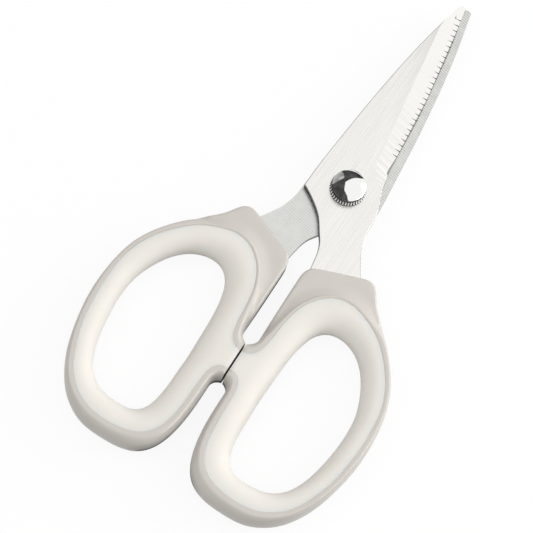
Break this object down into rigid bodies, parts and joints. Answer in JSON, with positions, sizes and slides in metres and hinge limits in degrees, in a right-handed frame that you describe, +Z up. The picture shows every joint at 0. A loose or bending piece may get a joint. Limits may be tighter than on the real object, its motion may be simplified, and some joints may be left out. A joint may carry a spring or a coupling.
{
  "type": "kitchen shears",
  "caption": "Kitchen shears with a serrated upper blade, a domed knurled tension nut and two-tone moulded loop handles with soft grips.",
  "frame": {"origin": "centre of the closed shears' bounding box, on the surface that the handles rest on", "axes": "+Y along the shears from the handles to the blade tips, +X towards the front handle, +Z up through the tension nut"},
  "size_m": [0.1074, 0.2, 0.0142],
  "materials": {
    "blade_steel": "fine ground stainless steel, brushed along the outer faces and cross-ground on the inner faces",
    "shell_plastic": "satin moulded hard plastic, warm grey beige",
    "grip_rubber": "smooth soft-touch elastomer, cream",
    "nut_chrome": "polished bright plating, knurled at the foot",
    "screw_steel": "turned stainless steel"
  },
  "bodies": {
    "front_half": {"front_blade": "blade_steel", "front_handle_shell": "shell_plastic", "front_finger_grip": "grip_rubber", "pivot_screw": "screw_steel", "spring_washer": "screw_steel"},
    "rear_half": {"rear_blade": "blade_steel", "rear_handle_shell": "shell_plastic", "rear_finger_grip": "grip_rubber"},
    "nut": {"tension_nut": "nut_chrome"}
  },
  "joints": [
    {"name": "blade_pivot", "type": "hinge", "parent": "front_half", "child": "rear_half", "pos_m": [0, 0.019, 0.006], "axis": [0, 0, -1], "range_deg": [0, 105]},
    {"name": "nut_turn", "type": "hinge", "parent": "front_half", "child": "nut", "pos_m": [0, 0.019, 0.006], "axis": [0, 0, 1], "range_deg": [0, 180]}
  ]
}
